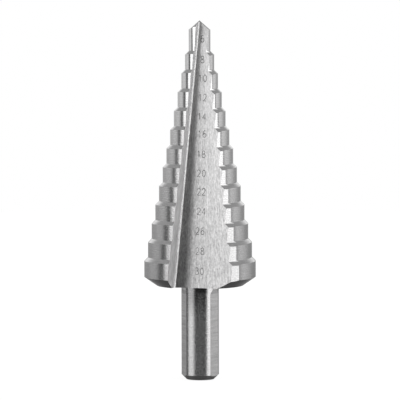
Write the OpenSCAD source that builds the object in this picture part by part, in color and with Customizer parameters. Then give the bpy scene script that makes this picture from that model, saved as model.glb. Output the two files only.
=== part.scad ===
// Step drill with thirteen relieved steps, two straight tapered flutes and a three-flat shank.
// Millimetres. The drill stands on its shank end: the axis is Z, the point is up and the
// origin is the centre of the shank's end face. The front flute faces -Y.

/* [Steps] */
// Diameter of the first step, next to the point
first_d = 6; // [5:0.5:8]
// Growth in diameter from each step to the next
step_growth = 2; // [1.5:0.25:2.5]
// Number of steps
step_count = 13; // [8:1:14]
// Length from each step's shoulder to the next
step_pitch = 5; // [4:0.25:7]
// Length of the first step's wall below the corner of the cutting edge
first_wall = 6.3; // [4:0.05:8]
// Length of the last step's wall above the back chamfer
last_wall = 4.4; // [3:0.1:8]
// Length of the back chamfer along the axis
back_chamfer_h = 2.35; // [1:0.05:4]
// Width of the back chamfer across the axis
back_chamfer_w = 3.4; // [1:0.1:5]

/* [Point and relief] */
// Full angle of the point's cone
point_angle = 122; // [105:1:135]
// Distance that the lands' centre is set off for radial relief
radial_relief = 0.14; // [0.05:0.01:0.3]
// Height that the shoulders are tilted through, across their radius, for axial relief
axial_relief = 0.4; // [0.2:0.05:0.8]
// Angle from the cutting edge back to the line about which the lands are offset and tilted
relief_lag = 60; // [30:1:75]
// Angle that the point's cone is tilted at its tip for lip relief
lip_relief_a = 12; // [5:0.5:14]
// Distance that each land's cone is set ahead of the axis, which leaves a short chisel edge
chisel_offset = 0.15; // [0.1:0.05:0.3]
// Angle from the cutting edge back to the line where the heel facet starts
heel_start = 102; // [95:1:106]
// Angle that the heel facet turns away from the land at that line
heel_turn = 15; // [8:1:18]

/* [Flutes] */
// Depth of the flute's corner below the last step's wall, at the back of the body
flute_depth = 4.6; // [4:0.05:6]
// Distance of the flute's corner from the axis at the point
tip_web = 0.65; // [0.6:0.05:1]
// Angle of the corner at the back of the body, left of the flute's middle
corner_back_a = 42.5; // [36:0.5:45]
// Angle of the corner at the point, left of the flute's middle
corner_tip_a = 16; // [5:1:20]
// Height above the point at which all the flute's surfaces meet
flute_apex_h = 18; // [14:0.5:24]
// Angle of the rake face, left of the flute's middle
rake_a = 19.5; // [16:0.5:30]
// Radius of the wide wall at the back of the body
wall_r = 165; // [110:5:240]
// Radius of the blend between the wide wall and the corner, at the back of the body
blend_r = 8.5; // [7:0.25:12]
// Angle by which the blend leans right of the flute's middle at the corner
blend_lean_a = 10; // [0:1:14]
// Arc of the blend, from the corner to the wide wall
blend_arc_a = 31; // [26:1:34]
// Radius of the round in the corner, at the back of the body
nose_r = 1.2; // [0.9:0.05:1.5]
// Radius of the round in the corner, at the point
nose_tip_r = 0.7; // [0.4:0.05:0.8]

/* [Shank] */
// Diameter of the shank
shank_d = 10; // [8:0.5:13]
// Length of the shank from its end face to the body
shank_len = 25.2; // [18:0.2:40]
// Chamfer round the shank's end, across the axis
end_chamfer = 1.3; // [0.5:0.1:2]
// Depth of each flat below the round of the shank
flat_depth = 0.3; // [0.15:0.05:0.6]
// Length of the neck between the body and the start of the flats
flat_start = 2.1; // [2:0.1:6]
// Slope of the run-out at the top of each flat
flat_runout_a = 12.5; // [10:0.5:30]
// Turn of the flats about the axis
flats_a = 172.5; // [120:2.5:235]

/* [Hidden] */
$fn = 96;

FLATS = 3;
FLUTES = 2;
// Turn of the front flute's cutting edge from +X: along the steps, and at the point
EDGE_A = -124;
POINT_EDGE_A = -113;
// How far the blend and the wide wall run on past their joint, and the crease between them
JOINT_A = 2;
CREASE_A = 1.5;
// How far the round of the corner is sunk past the rake face; it is twice that past the blend
NOSE_SINK = 0.015;
// How far a shoulder runs on inside the narrower step
RUN_IN = 0.6;
// How far one land's half runs on into the other
OVERLAP = 0.4;
// Reach of the cutting tools past the work
PAST = 30;

body_r = step_r(step_count - 1);
shoulder_h = step_growth / 2;
body_z = shank_len;
wall_z = body_z + back_chamfer_h;
point_h = step_r(0) / tan(point_angle / 2);
point_z = shoulder_z(1) + shoulder_h + first_wall;
tip_z = point_z + point_h;

function step_r(i) = (first_d + i * step_growth) / 2;
// Height at which step i's wall ends and its shoulder starts
function shoulder_z(i) = wall_z + last_wall + (step_count - 1 - i) * step_pitch;
// Tilt that lowers the rim of a shoulder of radius r by h
function rim_tilt(r, h) = atan(h / r);
// Point at radius r and angle a left of the front flute's middle
function left_of_front(r, a, z) = [-r * sin(a), -r * cos(a), z];

// A step's wall from base_z up to z, set off-centre for radial relief. In these modules +X is
// the cutting edge, where the wall has its full radius r, and the land trails away clockwise.
module relieved_wall(r, base_z, z) {
    rotate(-relief_lag) translate([0, radial_relief, base_z])
        cylinder(h = z - base_z, r = r - radial_relief * sin(relief_lag));
}

// One step: its wall under a 45 degree shoulder that is tilted for axial relief
module step(i) {
    r = step_r(i);
    z = shoulder_z(i);
    base_z = i == step_count - 1 ? body_z : shoulder_z(i + 1) - shoulder_h;
    skirt = step_pitch + last_wall + back_chamfer_h + shoulder_h;
    rise = shoulder_h + RUN_IN;
    intersection() {
        relieved_wall(r, base_z, z + rise + axial_relief);
        translate([0, 0, z - axial_relief * sin(relief_lag)]) rotate(-relief_lag)
            rotate([rim_tilt(r, axial_relief), 0, 0]) translate([0, 0, -skirt])
                cylinder(h = skirt + rise, r1 = r + skirt, r2 = r - rise);
    }
}

// Flat facet ground along the heel of the land, stepped like the land itself
module heel_limit() {
    lean = cos(heel_turn);
    fall = sin(heel_start - relief_lag) + sin(relief_lag);
    heel_r = [for (i = [0 : step_count - 1]) (step_r(i) - radial_relief * fall) * lean];
    walls = [for (i = [step_count - 1 : -1 : 1]) for (k = [0, 1])
        [heel_r[i - k], shoulder_z(i) + k * shoulder_h - axial_relief * fall]];
    outline = concat(
        [[-PAST, body_z - PAST], [heel_r[step_count - 1], body_z - PAST]],
        walls,
        [[heel_r[0], tip_z + PAST], [-PAST, tip_z + PAST]]);
    rotate(-heel_start - heel_turn) translate([0, PAST, 0]) rotate([90, 0, 0])
        linear_extrude(2 * PAST) polygon(outline);
}

// One land's half of the stepped cone, parted from the other half inside the flutes
module land() {
    intersection() {
        union() {
            relieved_wall(step_r(0), shoulder_z(1) - shoulder_h, tip_z + OVERLAP);
            for (i = [1 : step_count - 1]) step(i);
        }
        heel_limit();
        rotate(-EDGE_A) translate([-PAST, -PAST, 0])
            cube([PAST + OVERLAP, 2 * PAST, tip_z + PAST]);
    }
}

// The point's cone, tilted for the lip relief of the cutting edge at +X
module point_limit() {
    translate([0, chisel_offset, tip_z]) rotate([lip_relief_a, 0, 0]) rotate(90)
        translate([0, 0, -tip_z]) cylinder(h = tip_z, r1 = tip_z * tan(point_angle / 2), r2 = 0);
}

// Cone that widens to radius r over the length l from its apex
module tapered(r, l) {
    reach = l + PAST;
    cylinder(h = reach, r1 = 0, r2 = r * reach / l);
}

// Distance along the rake face from the corner's line to the middle of a round of radius r, where
// the blend has radius blend and the rake face is a degrees from the blend's own middle
function nose_foot(blend, r, a) = blend * cos(a)
    - sqrt(pow(blend - r + 2 * NOSE_SINK, 2) - pow(blend * sin(a) - r + NOSE_SINK, 2));

// One flute. Its rake face, blend and wall run through a single apex above the point, so that it
// grows deeper and wider with the steps. It has a flat rake face on the left, a wide shallow
// wall on the right, a tighter blend where the wall nears the corner, and a round corner.
module flute() {
    back = left_of_front(body_r - flute_depth, corner_back_a, body_z);
    tip = left_of_front(tip_web, corner_tip_a, tip_z);
    apex = tip + (tip - back) * flute_apex_h / (tip_z - body_z);
    run = back - apex;
    length = norm(run);
    turn = atan2(run.y, run.x);
    tilt = acos(run.z / length);
    // Axes square to the corner line, and the roll about that line of a level direction
    across = [cos(turn) * cos(tilt), sin(turn) * cos(tilt), -sin(tilt)];
    along = [-sin(turn), cos(turn), 0];
    rake = left_of_front(1, rake_a, 0);
    lean = left_of_front(1, -blend_lean_a, 0);
    rake_roll = atan2(rake * along, rake * across);
    lean_roll = atan2(lean * along, lean * across);
    blend_half = atan(blend_r / length);
    wall_half = atan(wall_r / length);
    reach = length + PAST;
    open_a = rake_roll - lean_roll;
    tip_length = length * flute_apex_h / (flute_apex_h + tip_z - body_z);
    foot = nose_foot(blend_r, nose_r, open_a);
    tip_foot = nose_foot(blend_r * tip_length / length, nose_tip_r, open_a);
    spread = atan((foot - tip_foot) / (length - tip_length));
    growth = (nose_r - nose_tip_r) / (length - tip_length);
    chord_a = atan2(blend_r * sin(open_a) - nose_r, foot - blend_r * cos(open_a)) / 2 - 45;
    translate(apex) rotate([0, tilt, turn]) union() {
        intersection() {
            rotate(rake_roll) translate([-reach, -reach, 0]) cube([2 * reach, reach, reach]);
            rotate(rake_roll) translate([tip_foot, 0, tip_length]) rotate([0, spread, 0])
                rotate(chord_a) translate([-reach, -2 * reach, -reach])
                    cube([3 * reach, 2 * reach, 2 * reach]);
            rotate(lean_roll) rotate([0, blend_half, 0]) rotate(blend_arc_a) union() {
                intersection() {
                    tapered(length * tan(blend_half), length);
                    rotate(JOINT_A) translate([-reach, 0, -reach])
                        cube([2 * reach, reach, 3 * reach]);
                }
                translate([0, -OVERLAP, 0]) cube(reach);
                intersection() {
                    rotate([0, -blend_half, 0]) rotate(-CREASE_A) rotate([0, wall_half, 0])
                        tapered(length * tan(wall_half), length);
                    rotate(-JOINT_A) translate([-reach, -reach, -reach])
                        cube([2 * reach, reach, 3 * reach]);
                }
            }
        }
        rotate(rake_roll) translate([tip_foot, NOSE_SINK - nose_tip_r, tip_length])
            rotate([atan(growth), spread, 0]) translate([0, 0, -tip_length])
                cylinder(h = reach, r1 = nose_tip_r - growth * tip_length,
                    r2 = nose_r + growth * PAST);
    }
}

// Stepped cutting body with its back chamfer
module body() {
    difference() {
        intersection() {
            union() {
                rotate(EDGE_A) land();
                rotate(EDGE_A + 180) land();
            }
            rotate(POINT_EDGE_A) point_limit();
            rotate(POINT_EDGE_A + 180) point_limit();
            translate([0, 0, body_z])
                cylinder(h = tip_z, r1 = body_r - back_chamfer_w,
                    r2 = body_r - back_chamfer_w + tip_z * back_chamfer_w / back_chamfer_h);
        }
        for (i = [0 : FLUTES - 1]) rotate(i * 360 / FLUTES) flute();
    }
}

// Flat with a sloped run-out below the body, as the outline of what the grinder leaves
module flat_limit(i) {
    r = shank_d / 2;
    start_z = shank_len - flat_start;
    runout = flat_depth / tan(flat_runout_a);
    rotate([90, 0, flats_a - 90 + i * 360 / FLATS]) translate([0, 0, -PAST]) linear_extrude(2 * PAST)
        polygon([
            [-PAST, -1],
            [r - flat_depth, -1],
            [r - flat_depth, start_z],
            [r, start_z + runout],
            [r + 1, shank_len + PAST],
            [-PAST, shank_len + PAST]]);
}

module shank() {
    r = shank_d / 2;
    seat_z = shank_len + back_chamfer_h;
    intersection() {
        union() {
            cylinder(h = end_chamfer, r1 = r - end_chamfer, r2 = r);
            translate([0, 0, end_chamfer]) cylinder(h = seat_z - end_chamfer, r = r);
        }
        flat_limit(0);
        flat_limit(1);
        flat_limit(2);
    }
}

module step_drill() {
    color("silver") union() {
        body();
        shank();
    }
}

step_drill();
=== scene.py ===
import math
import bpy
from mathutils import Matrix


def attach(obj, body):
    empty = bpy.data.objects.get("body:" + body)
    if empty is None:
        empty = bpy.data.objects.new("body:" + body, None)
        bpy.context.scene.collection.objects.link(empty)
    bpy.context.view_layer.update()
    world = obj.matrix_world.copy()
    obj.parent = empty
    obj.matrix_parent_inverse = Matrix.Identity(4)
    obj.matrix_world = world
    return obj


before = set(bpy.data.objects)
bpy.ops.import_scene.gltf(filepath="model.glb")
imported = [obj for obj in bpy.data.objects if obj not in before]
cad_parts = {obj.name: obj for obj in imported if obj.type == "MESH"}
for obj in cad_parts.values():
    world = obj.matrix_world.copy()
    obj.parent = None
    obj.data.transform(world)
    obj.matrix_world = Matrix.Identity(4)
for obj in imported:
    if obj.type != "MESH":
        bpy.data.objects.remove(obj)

from types import SimpleNamespace

import bmesh
import bpy
from mathutils import Quaternion, Vector
from mathutils.bvhtree import BVHTree

MM = 0.001

bpy.context.view_layer.update()
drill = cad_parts["step_drill"]


# ---------------------------------------------------------------- shader nodes
def add_node(tree, kind, props=None, **inputs):
    """Adds a shader node. Inputs are named by socket, with _ for a space, or by i0, i1, ..."""
    made = tree.nodes.new("ShaderNode" + kind)
    for name, value in (props or {}).items():
        setattr(made, name, value)
    for name, value in inputs.items():
        key = int(name[1:]) if name[0] == "i" and name[1:].isdigit() else name.replace("_", " ")
        socket = made.inputs[key]
        if isinstance(value, Field):
            value = value.socket
        if isinstance(value, bpy.types.NodeSocket):
            tree.links.new(value, socket)
        else:
            socket.default_value = value
    return made


class Field:
    """A number or vector that varies over a surface. Arithmetic on numbers adds Math nodes."""

    def __init__(self, tree, socket):
        self.tree = tree
        self.socket = socket

    def node(self, kind, props=None, **inputs):
        """First output of a new node in the same tree."""
        return Field(self.tree, add_node(self.tree, kind, props, **inputs).outputs[0])

    def calc(self, operation, other=0.0):
        """A Math node on this number and another."""
        return self.node("Math", {"operation": operation}, i0=self, i1=other)

    def parts(self):
        """The x, y and z of a vector."""
        return [Field(self.tree, s) for s in add_node(self.tree, "SeparateXYZ", i0=self).outputs]

    def __add__(self, other):
        return self.calc("ADD", other)

    def __sub__(self, other):
        return self.calc("SUBTRACT", other)

    def __rsub__(self, other):
        return self.node("Math", {"operation": "SUBTRACT"}, i0=other, i1=self)

    def __mul__(self, other):
        return self.calc("MULTIPLY", other)

    def __truediv__(self, other):
        return self.calc("DIVIDE", other)

    def __neg__(self):
        return self.calc("MULTIPLY", -1.0)

    def __abs__(self):
        return self.calc("ABSOLUTE")

    __radd__ = __add__
    __rmul__ = __mul__


def ease(value, low, high, to_low=0.0, to_high=1.0):
    """Smooth step from to_low to to_high as value goes from low to high."""
    return value.node("MapRange", {"interpolation_type": "SMOOTHSTEP"}, Value=value,
                      From_Min=low, From_Max=high, To_Min=to_low, To_Max=to_high)


def blend(factor, a, b):
    """a where factor is 0, b where it is 1."""
    return factor.node("Mix", {"data_type": "FLOAT"}, i0=factor, i2=a, i3=b)


def ramp(value, low, high, stops):
    """Straight lines through (place, level) stops, whose places lie between low and high."""
    made = add_node(value.tree, "ValToRGB", i0=(value - low) / (high - low))
    top = max(level for _, level in stops)
    elements = made.color_ramp.elements
    while len(elements) > 1:
        elements.remove(elements[-1])
    for k, (place, level) in enumerate(stops):
        position = (place - low) / (high - low)
        element = elements[0] if k == 0 else elements.new(position)
        element.position = position
        element.color = (level / top,) * 3 + (1.0,)
    return Field(value.tree, made.outputs[0]) * top


def vector_of(x, y, z):
    return x.node("CombineXYZ", X=x, Y=y, Z=z)


def noise(vector, scale, detail=2.0, roughness=0.5):
    return vector.node("TexNoise", Vector=vector, Scale=scale, Detail=detail, Roughness=roughness)


def object_place(tree):
    """Place in the object's own frame, in metres."""
    return Field(tree, add_node(tree, "TexCoord").outputs["Object"])


def grey(value):
    return (value, value, value, 1.0)


def new_material(name):
    material = bpy.data.materials.new(name)
    material.use_nodes = True
    material.node_tree.nodes.clear()
    return material, material.node_tree


def add_object(name, fill):
    """Object with a new mesh, which fill(shape) makes."""
    shape = bmesh.new()
    fill(shape)
    mesh = bpy.data.meshes.new(name)
    shape.to_mesh(mesh)
    shape.free()
    made = bpy.data.objects.new(name, mesh)
    bpy.context.scene.collection.objects.link(made)
    return made


# ---------------------------------------------------------------------- camera
CAMERA_DISTANCE = 0.9
CAMERA_ELEVATION = math.radians(4.2)
TARGET = Vector((0, 0, 0.048))
PIXELS_PER_MM = 3.75
IMAGE = 400
CENTRE_PX = (199.9, 199.75)
ROLL = math.radians(-0.13)
SENSOR_MM = 36

camera_data = bpy.data.cameras.new("camera")
camera = bpy.data.objects.new("camera", camera_data)
bpy.context.scene.collection.objects.link(camera)
away = Vector((0, -math.cos(CAMERA_ELEVATION), math.sin(CAMERA_ELEVATION)))
camera.location = TARGET + away * CAMERA_DISTANCE
camera.rotation_mode = "QUATERNION"
turn = (-away).to_track_quat("-Z", "Y")
camera.rotation_quaternion = turn @ Quaternion((0, 0, 1), ROLL)
focal_px = PIXELS_PER_MM * CAMERA_DISTANCE / MM
camera_data.sensor_width = SENSOR_MM
camera_data.lens = SENSOR_MM * focal_px / IMAGE
camera_data.shift_x = (IMAGE / 2 - CENTRE_PX[0]) / IMAGE
camera_data.shift_y = (CENTRE_PX[1] - IMAGE / 2) / IMAGE
camera_data.clip_start = 0.01
camera_data.clip_end = 100
bpy.context.scene.camera = camera
bpy.context.scene.view_settings.view_transform = "Standard"


# ---------------------------------------------------------------- studio light
# Radiance of the studio round the drill by azimuth, in degrees to the right of the camera: a
# dark zone on the camera's side, a softbox on either side of it, and a pale backdrop.
BELT = (
    (-180, 0.45), (-150, 0.42), (-135, 0.43), (-120, 0.52), (-106, 0.53), (-97, 0.41), (-92, 0.12),
    (-80.5, 0.11), (-76.2, 0.95), (-72, 1.15), (-48, 1.15), (-40, 0.66), (-31, 0.15), (-22, 0.11),
    (0, 0.13), (26, 0.10), (37, 0.16), (46, 0.95), (52, 1.22), (76, 1.15), (81.5, 0.95),
    (86, 0.22), (89.5, 0.26), (96, 0.62), (106, 0.58), (120, 0.48), (136, 0.32), (153, 0.28),
    (180, 0.45),
)
# How the belt brightens with elevation, in degrees: on its left, its right and towards the camera
RISE_LEFT = ((-9, 0.80), (-6.3, 0.86), (-4.2, 1.08), (-2.8, 1.11), (-1.3, 1.40), (0.5, 1.65),
             (1.7, 1.62), (3.8, 1.65), (5.2, 2.0), (6.7, 2.4), (8, 2.3))
RISE_RIGHT = ((-9, 1.02), (-6.3, 1.11), (-4.2, 1.24), (-2.8, 1.35), (-1.3, 1.45), (0.5, 1.52),
              (1.7, 1.52), (3.8, 1.72), (5.2, 1.98), (6.7, 2.6), (8, 3.0))
RISE_FRONT = ((-9, 1.15), (-4, 1.0), (1.7, 0.85), (2.7, 1.35), (3.8, 1.6), (5.2, 1.5), (6.7, 2.9),
              (8, 3.6))
RISE_SPAN = 10
# Radiance outside the belt: above it, low down behind, steeply down in front, and straight down
OVERHEAD, REAR_LOW, FRONT_LOW, UNDERFOOT = 0.42, 0.20, 0.32, 0.09
STUDIO_RADIUS = 0.6
STUDIO_CENTRE_Z = 0.05
FLOOR_RADIUS = 0.98 * STUDIO_RADIUS
# Just under the shank's end, so that the two don't share a plane
FLOOR_Z = -0.02 * MM
# The floor's own colour, and what the camera sees of it: a glow with a faint shadow on it
FLOOR_COLOUR, FLOOR_FAINT, FLOOR_GLOW = 0.8, 0.22, 0.9


def studio_radiance(place):
    """The belt, brighter with elevation, let into a plain studio."""
    x, y, z = place.parts()
    azimuth = x.calc("ARCTAN2", -y) * math.degrees(1)
    elevation = (z / STUDIO_RADIUS).calc("ARCSINE") * math.degrees(1)
    aside = abs(azimuth)
    belt = ramp(azimuth, -180, 180, BELT)
    left, right, front = [ramp(elevation, -RISE_SPAN, RISE_SPAN, stops)
                          for stops in (RISE_LEFT, RISE_RIGHT, RISE_FRONT)]
    rise = blend(ease(azimuth, -23, 23), left, right)
    belt = belt * blend(ease(aside, 28, 42), front, rise)
    rear = ease(aside, 110, 140)
    radiance = blend(ease(elevation, 14, 30), belt, OVERHEAD)
    radiance = blend(rear * ease(elevation, -14, -24), radiance, REAR_LOW)
    underside = blend(rear, ease(elevation, -70, -54, UNDERFOOT, FRONT_LOW), UNDERFOOT)
    return blend(ease(elevation, -18, -42), radiance, underside)


def make_studio():
    studio = add_object("studio", lambda shape: bmesh.ops.create_icosphere(
        shape, subdivisions=5, radius=STUDIO_RADIUS))
    studio.location = (0, 0, STUDIO_CENTRE_Z)
    studio.visible_camera = False
    material, tree = new_material("studio_light")
    light = add_node(tree, "Emission", Strength=studio_radiance(object_place(tree)))
    add_node(tree, "OutputMaterial", Surface=light.outputs[0])
    studio.data.materials.append(material)


def make_floor():
    """Pale floor, which the camera sees as white, with the drill's shadow on it."""
    floor = add_object("floor", lambda shape: bmesh.ops.create_circle(
        shape, cap_ends=True, segments=96, radius=FLOOR_RADIUS))
    floor.location = (0, 0, FLOOR_Z)
    floor.visible_glossy = False
    material, tree = new_material("pale_floor")
    seen = add_node(tree, "LightPath").outputs["Is Camera Ray"]
    lit = add_node(tree, "BsdfDiffuse", Color=grey(FLOOR_COLOUR))
    faint = add_node(tree, "BsdfDiffuse", Color=grey(FLOOR_FAINT))
    glow = add_node(tree, "Emission", Color=grey(1.0), Strength=FLOOR_GLOW)
    white = add_node(tree, "AddShader", i0=faint.outputs[0], i1=glow.outputs[0])
    both = add_node(tree, "MixShader", i0=seen, i1=lit.outputs[0], i2=white.outputs[0])
    add_node(tree, "OutputMaterial", Surface=both.outputs[0])
    floor.data.materials.append(material)


def make_world():
    """White to the camera, and grey to whatever else sees past the studio."""
    world = bpy.data.worlds.new("white")
    world.use_nodes = True
    tree = world.node_tree
    tree.nodes.clear()
    seen = Field(tree, add_node(tree, "LightPath").outputs["Is Camera Ray"])
    back = add_node(tree, "Background", Color=grey(1.0), Strength=blend(seen, 0.6, 1.0))
    add_node(tree, "OutputWorld", Surface=back.outputs[0])
    bpy.context.scene.world = world


make_studio()
make_floor()
make_world()


# ------------------------------------------------------------- the flutes' form
# The front flute as it is in the part's source, in mm: lines that run from the back of the body
# to the point, for its corner and for the centres of its rounds. Angles are level ones, to the
# right of the camera.
BACK_Z, TIP_Z, APEX_RISE = 25.2, 95.91, 18.0
RAKE = math.radians(70.5)
LEAN = math.radians(10.0)
JOINT = math.radians(-21.0)
WALL = math.radians(-22.5)
BLEND_R, WALL_R = 8.5, 165.0
NOSE_R_BACK, NOSE_FOOT_BACK = 1.18, 0.66
NOSE_R_TIP, NOSE_FOOT_TIP = 0.68, 0.42
SHRINK = APEX_RISE / (APEX_RISE + TIP_Z - BACK_Z)


def facing(angle):
    """Level direction at an angle to the right of the camera."""
    return Vector((math.sin(angle), -math.cos(angle)))


def rounds_at(corner, blend_r, wall_r, nose_r, foot):
    """Centres of the nose, blend and wall in a level section through the corner."""
    nose = corner + foot * facing(RAKE - math.pi / 2) + nose_r * facing(RAKE)
    middle = corner + blend_r * facing(LEAN)
    joint = middle - blend_r * facing(JOINT)
    return nose, middle, joint + wall_r * facing(WALL)


CORNER_BACK = 10.4 * facing(math.radians(-42.5))
CORNER_TIP = 0.65 * facing(math.radians(-16.0))
APEX = CORNER_TIP + (CORNER_TIP - CORNER_BACK) * APEX_RISE / (TIP_Z - BACK_Z)
APEX_Z = TIP_Z + APEX_RISE
ROUNDS = tuple(zip(
    rounds_at(CORNER_BACK, BLEND_R, WALL_R, NOSE_R_BACK, NOSE_FOOT_BACK),
    rounds_at(CORNER_TIP, BLEND_R * SHRINK, WALL_R * SHRINK, NOSE_R_TIP, NOSE_FOOT_TIP)))


def flute_at(x, y, z):
    """The nearer flute's surface at a place in mm: u and v are the place across the flute as seen
    from its apex, fall the depth under the apex, angle the level direction that the surface faces,
    and normal its exact normal, clear of the facets."""
    side = 1.0 - y.calc("GREATER_THAN", 0.0) * 2.0
    near_x = x * side
    near_y = y * side
    angle = None
    for back, tip in ROUNDS:
        slope = (tip - back) / (TIP_Z - BACK_Z)
        start = back - slope * BACK_Z
        dx = (z * slope.x + start.x) - near_x
        dy = near_y - (z * slope.y + start.y)
        towards = dx.calc("ARCTAN2", dy)
        angle = towards if angle is None else angle.calc("MAXIMUM", towards)
    angle = angle.calc("MINIMUM", RAKE)
    fall = APEX_Z - z
    u = (near_x - APEX.x) / fall
    v = (near_y - APEX.y) / fall
    nx = angle.calc("SINE")
    ny = -angle.calc("COSINE")
    outward = vector_of(nx * side, ny * side, nx * u + ny * v)
    normal = outward.node("VectorMath", {"operation": "NORMALIZE"}, i0=outward)
    return SimpleNamespace(u=u, v=v, fall=fall, angle=angle * math.degrees(1), normal=normal)


# ---------------------------------------------------------------- ground steel
# The grain is noise drawn out along the flutes or round the drill: shares of a place in mm
STREAK_Z, SHORT_STREAK_Z = 0.0014, 0.006
RING_XY, CHATTER_XY = 0.06, 0.7
# Cosine of the angle by which a facet's normal may be off the exact one and still be the flute's
SAME_SURFACE = 0.87
# Between these radii in mm, the shank's round gives way to its flats
FLAT_EDGE, ROUND_EDGE = 4.94, 4.97
# The middle of the shank's dull front band, and of the painted shade under the body above it, in
# mm
BAND_X, UNDER_BODY_SHADE_X = 0.15, -0.9
# Painted shade and light in the hollow beside the flute's corner by height, in mm: darker low
# down, lighter high up
HOLLOW_PAINTED_SHADING = ((28, 0.70), (40, 0.83), (64, 0.88), (79, 1.08), (90, 1.25))
# Red, green and blue of the steel for its tone
TINT = (1.0, 0.994, 0.996)
RUNG_PITCH = 0.6
# Bump of the scratches for each mm under the flute's apex
SCRATCH = 0.4 / 88
BUMP_DEPTH = 0.02


def grain_at(mm, flute):
    """Noise along the flutes, round the drill, and without direction."""
    x, y, z = mm.parts()
    along = vector_of(flute.u, flute.v, z * STREAK_Z)
    along_short = vector_of(flute.u, flute.v, z * SHORT_STREAK_Z)
    around = vector_of(x * RING_XY, y * RING_XY, z)
    return SimpleNamespace(
        long_fine=noise(along, 230.0, 3.0, 0.7),
        long_wide=noise(along, 45.0),
        short=noise(along_short, 210.0, 2.0, 0.6),
        ring_fine=noise(around, 5.0, 3.0, 0.75),
        ring_wide=noise(around, 2.2, 2.0, 0.6),
        chatter=noise(vector_of(x * CHATTER_XY, y * CHATTER_XY, z), 2.6, 2.0, 0.6),
        mottle=noise(mm, 1.6, 3.0, 0.6),
        speckle=noise(mm, 3.2, 2.0, 0.6))


def land_tone(grain, x, flat, shank):
    """Turned steel of the lands and the shank, scored across the flats, with dust on the shank."""
    turned = grain.ring_fine * 0.22 + grain.mottle * 0.04 + 0.485
    scored = (grain.ring_wide - 0.5) * flat * 0.45
    dull = shank * ease(abs(x - BAND_X), 2.0, 1.4)
    dust = ease(grain.speckle, 0.35, 0.65, -0.5, 0.5) * blend(dull, 0.07, 0.5)
    return turned + scored + dust


def wall_tone(grain, z, angle):
    """The flute's wall, blend and corner, ground lengthwise, with painted shade and light in the
    hollow beside the corner by height, and a painted highlight on the nose.
    """
    streaks = grain.long_fine * 0.55 + grain.short * 0.50 + grain.long_wide * 0.05
    ground = streaks + grain.speckle * 0.22 - 0.24
    beside_joint = ease(angle, -21, -12, ease(angle, -24, -22.5, 1.0, 0.93), 1.0)
    hollow = ease(angle, -14, -7) * ease(angle, 20, 12)
    # Painted shade low down and painted light high up in the hollow beside the corner
    hollow_painted_shading = blend(hollow, 1.0, ramp(z, 0, 100, HOLLOW_PAINTED_SHADING))
    # Painted highlight: the nose's tone is lifted, more low down than high up
    nose = blend(ease(angle, 14, 26), 1.0, ease(z, 60, 85, 1.22, 1.08))
    return ground * beside_joint * hollow_painted_shading * nose


def rake_tone(grain, z):
    """The rake face, ground lengthwise and coarser."""
    return grain.long_fine * 0.90 + grain.long_wide * 0.20 + ease(z, 25, 50, 0.29, 0.34)


def grime_at(x, z, shank):
    """Share of the light that painted shade takes, on the shank's front under the body's overhang,
    where the body shades it.
    """
    across = abs(x - BAND_X)
    broad_shade = ease(abs(x - UNDER_BODY_SHADE_X), 3.2, 1.6) * 0.40
    edges = ease(across, 0.5, 1.0) * ease(across, 2.0, 1.4) * 0.25
    faint = ease(z, BACK_Z - 10.0, BACK_Z - 2.0) * (edges + broad_shade)
    deep = ease(z, BACK_Z - 3.2, BACK_Z - 1.2, 0.0, 0.8) * ease(across, 2.2, 1.2)
    return faint.calc("MAXIMUM", deep) * shank


def ridges_at(grain, z):
    """Height of the turning marks: ladder-like rungs here and there, waves and fine rings."""
    rungs = (z * (2 * math.pi / RUNG_PITCH)).calc("SINE")
    rungs = rungs * ease(grain.chatter, 0.35, 0.65, 0.0, 0.3)
    waves = grain.chatter * ease(z, 50, 85, 3.2, 1.0)
    return rungs + waves + grain.ring_fine


def steel_material():
    material, tree = new_material("ground_steel")
    place = object_place(tree)
    mm = place.node("VectorMath", {"operation": "SCALE"}, i0=place, Scale=1 / MM)
    x, y, z = mm.parts()
    geometry = add_node(tree, "NewGeometry").outputs
    flute = flute_at(x, y, z)
    grain = grain_at(mm, flute)

    # Which surface this is, 0 to 1: a flute, its rake face, a flat of the shank or its round
    on_body = ease(z, BACK_Z - 0.05, BACK_Z + 0.05)
    match = add_node(tree, "VectorMath", {"operation": "DOT_PRODUCT"}, i0=flute.normal,
                     i1=geometry["True Normal"]).outputs["Value"]
    in_flute = Field(tree, match).calc("GREATER_THAN", SAME_SURFACE) * on_body
    rake = in_flute * ease(flute.angle, 38, 50)
    radius = (x * x + y * y).calc("SQRT")
    flat = (1.0 - on_body) * ease(radius, ROUND_EDGE, FLAT_EDGE)
    shank = 1.0 - on_body - flat

    in_flute_tone = blend(rake, wall_tone(grain, z, flute.angle), rake_tone(grain, z))
    tone = blend(in_flute, land_tone(grain, x, flat, shank), in_flute_tone)
    # Painted shade on the top of the shank, under the body's overhang
    tone = tone * (1.0 - grime_at(x, z, shank))
    colour = tone.node("CombineColor", i0=tone * TINT[0], i1=tone * TINT[1], i2=tone * TINT[2])
    rough = blend(in_flute, ease(z, 60, 85, 0.16, 0.06), blend(rake, 0.30, 0.8))
    rough = blend(flat, rough, 0.26) + grain.mottle * 0.06

    facet_free = add_node(tree, "Mix", {"data_type": "VECTOR"}, i0=in_flute,
                          i4=geometry["Normal"], i5=flute.normal).outputs[1]
    scratches = grain.long_fine * flute.fall * SCRATCH
    bump = add_node(tree, "Bump", Strength=0.35, Distance=BUMP_DEPTH * MM,
                    Height=blend(in_flute, ridges_at(grain, z), scratches), Normal=facet_free)
    shader = add_node(tree, "BsdfPrincipled", Base_Color=colour, Metallic=1.0, Roughness=rough,
                      Normal=bump.outputs[0])
    add_node(tree, "OutputMaterial", Surface=shader.outputs[0])
    return material


drill.material_slots[0].material = steel_material()

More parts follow.
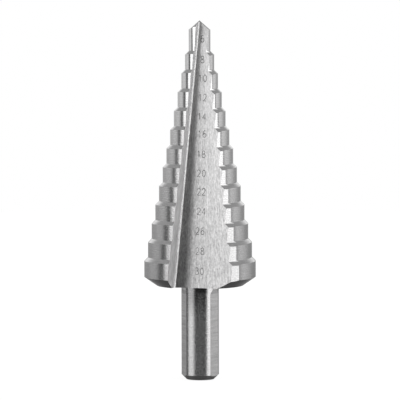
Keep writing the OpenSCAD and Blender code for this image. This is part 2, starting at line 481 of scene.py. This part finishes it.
# ------------------------------------------------------------------ size marks
# Single strokes of each digit in a cell 1 wide and 1 high; smooth ones are rounded off
DIGITS = {
    "0": ((True, ((0.5, 1), (0.12, 0.82), (0, 0.5), (0.12, 0.18), (0.5, 0), (0.88, 0.18), (1, 0.5),
                  (0.88, 0.82), (0.5, 1))),),
    "1": ((False, ((0.25, 0.78), (0.6, 1), (0.6, 0))),),
    "2": ((True, ((0.03, 0.76), (0.18, 0.95), (0.5, 1), (0.85, 0.93), (0.97, 0.74), (0.82, 0.5),
                  (0.4, 0.24), (0, 0))), (False, ((0, 0), (1, 0)))),
    "3": ((True, ((0.04, 0.86), (0.3, 0.99), (0.75, 0.97), (0.93, 0.77), (0.78, 0.57),
                  (0.4, 0.53))),
          (True, ((0.4, 0.53), (0.84, 0.47), (1, 0.26), (0.8, 0.05), (0.35, 0), (0, 0.13)))),
    "4": ((False, ((0.72, 0), (0.72, 1), (0, 0.28), (1, 0.28))),),
    "6": ((True, ((0.86, 0.92), (0.55, 1), (0.15, 0.8), (0, 0.4), (0.12, 0.08), (0.5, 0),
                  (0.88, 0.1), (1, 0.32), (0.85, 0.52), (0.5, 0.58), (0.15, 0.48), (0.02, 0.3))),),
    "8": ((True, ((0.5, 0.54), (0.14, 0.64), (0.1, 0.86), (0.5, 1), (0.9, 0.86), (0.86, 0.64),
                  (0.5, 0.54), (0.08, 0.42), (0.02, 0.14), (0.5, 0), (0.98, 0.14), (0.92, 0.42),
                  (0.5, 0.54))),),
}
DIGIT_W, DIGIT_H, DIGIT_GAP = 0.8, 1.8, 1.32
# A stroke in mm: its width, how far it stands out of the wall and how deep it is sunk. The shares
# of the width are those of its top and of its ends.
STROKE_W, STROKE_OUT, STROKE_SUNK = 0.17, 0.012, 0.02
TOP_SHARE, END_SHARE = 0.8, 0.6
# Each number's middle: across the flute and up the drill, in mm
MARKS = (
    (6, 0.75, 90.95), (8, 0.75, 85.45), (10, 0.75, 80.5), (12, 0.75, 75.4), (14, 0.55, 70.4),
    (16, 0.6, 65.8), (18, 0.35, 60.45), (20, 0.4, 55.4), (22, 0.35, 50.55), (24, 0.35, 45.4),
    (26, 0.0, 40.2), (28, -0.05, 34.9), (30, -0.2, 29.65),
)
# Level in front of the drill, in m, from which the flute's wall is looked for
IN_FRONT = -0.03


def rounded(points, per_span=5):
    """Catmull-Rom curve through the points."""
    closed = points[0] == points[-1]
    out = []
    for k in range(len(points) - 1):
        before = points[k - 1] if k else (points[-2] if closed else points[0])
        after = points[k + 2] if k + 2 < len(points) else (points[1] if closed else points[-1])
        p0, p1, p2, p3 = (Vector(p) for p in (before, points[k], points[k + 1], after))
        for n in range(per_span):
            t = n / per_span
            out.append(0.5 * (2 * p1 + (p2 - p0) * t + (2 * p0 - 5 * p1 + 4 * p2 - p3) * t * t
                              + (3 * p1 - p0 - 3 * p2 + p3) * t ** 3))
    return out + [Vector(points[-1])]


def straight(points, per_span=6):
    """Points along straight lines, close enough to follow the wall."""
    out = []
    for a, b in zip(points, points[1:]):
        out += [Vector(a).lerp(Vector(b), n / per_span) for n in range(per_span)]
    return out + [Vector(points[-1])]


def stroke_paths():
    """The path of each stroke of each number, across the flute and up the drill, in mm."""
    for number, across, up in MARKS:
        digits = str(number)
        first = across - DIGIT_GAP * (len(digits) - 1) / 2
        for n, digit in enumerate(digits):
            for smooth, points in DIGITS[digit]:
                cell = [(first + n * DIGIT_GAP + (px - 0.5) * DIGIT_W, up + (py - 0.5) * DIGIT_H)
                        for px, py in points]
                yield rounded(cell) if smooth else straight(cell)


def add_stroke(made, wall, path):
    """Shallow bar on the wall along path."""
    on_wall = []
    for p in path:
        start = Vector((p.x * MM, IN_FRONT, p.y * MM))
        hit, normal, _, _ = wall.ray_cast(start, Vector((0, 1, 0)))
        on_wall.append((hit, normal))
    section = ((1, -STROKE_SUNK), (TOP_SHARE, STROKE_OUT), (-TOP_SHARE, STROKE_OUT),
               (-1, -STROKE_SUNK))
    rings = []
    last = len(on_wall) - 1
    for k, (hit, normal) in enumerate(on_wall):
        ahead = (on_wall[min(k + 1, last)][0] - on_wall[max(k - 1, 0)][0]).normalized()
        side = ahead.cross(normal).normalized() * STROKE_W / 2 * MM
        if k in (0, last):
            side *= END_SHARE
        rings.append([made.verts.new(hit + side * a + normal * b * MM) for a, b in section])
    for a, b in zip(rings, rings[1:]):
        for n in range(4):
            made.faces.new((a[n], a[(n + 1) % 4], b[(n + 1) % 4], b[n]))
    made.faces.new(rings[0][::-1])
    made.faces.new(rings[-1])


def add_strokes(made):
    shape = bmesh.new()
    shape.from_mesh(drill.data)
    wall = BVHTree.FromBMesh(shape)
    shape.free()
    for path in stroke_paths():
        add_stroke(made, wall, path)
    bmesh.ops.recalc_face_normals(made, faces=made.faces)


def mark_material():
    """Dark etched line, in part worn back to the steel."""
    material, tree = new_material("etched_mark")
    place = object_place(tree)
    patch = noise(place, 700.0, 3.0, 0.6)
    height = place.parts()[2]
    tone = ramp(patch, 0, 1, ((0.42, 0.06), (0.66, 0.26)))
    tone = tone * ease(height, 78 * MM, 84 * MM, 1.0, 0.35)
    worn = ease(patch, 0.42, 0.64, 0.3, 0.85)
    shader = add_node(tree, "BsdfPrincipled", Metallic=worn, Roughness=0.45,
                      Base_Color=tone.node("CombineColor", i0=tone, i1=tone, i2=tone))
    add_node(tree, "OutputMaterial", Surface=shader.outputs[0])
    return material


marks = add_object("size_marks", add_strokes)
marks.data.materials.append(mark_material())
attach(marks, "root")
